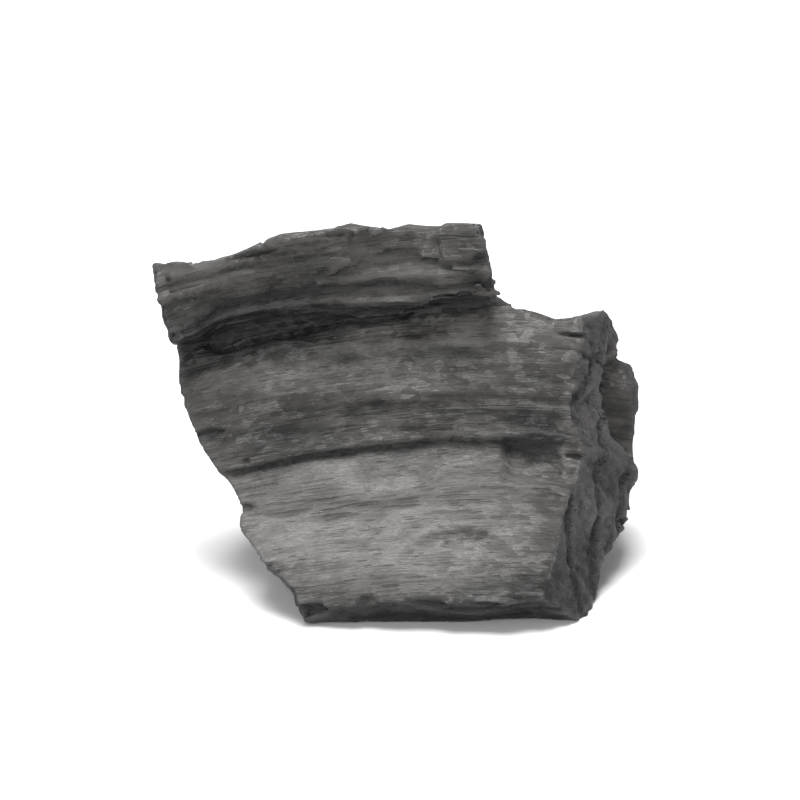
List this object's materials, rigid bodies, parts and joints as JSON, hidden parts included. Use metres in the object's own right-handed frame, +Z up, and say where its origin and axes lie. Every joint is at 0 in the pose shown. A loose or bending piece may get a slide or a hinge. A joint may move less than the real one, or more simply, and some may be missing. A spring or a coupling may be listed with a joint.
{
  "type": "charcoal lump",
  "caption": "Broken lump of lump charcoal: split growth-ring layers stepping up to an overhanging ledge, flat foot, snapped ends and drying checks.",
  "frame": {"origin": "on the surface the lump stands on, under the middle of its box", "axes": "+X along the wood's fibres, left to right seen from the front; +Y from the sloping front face to the back; +Z up from the flat foot"},
  "size_m": [0.0344, 0.024, 0.0249],
  "materials": {
    "charcoal": "charred oak: near-black warm grey, fibrous and dull satin on split faces, darker and duller on broken ends and under the ledge, grey sheen where the fibres catch light"
  },
  "bodies": {
    "root": {"charcoal_lump": "charcoal"}
  },
  "joints": []
}
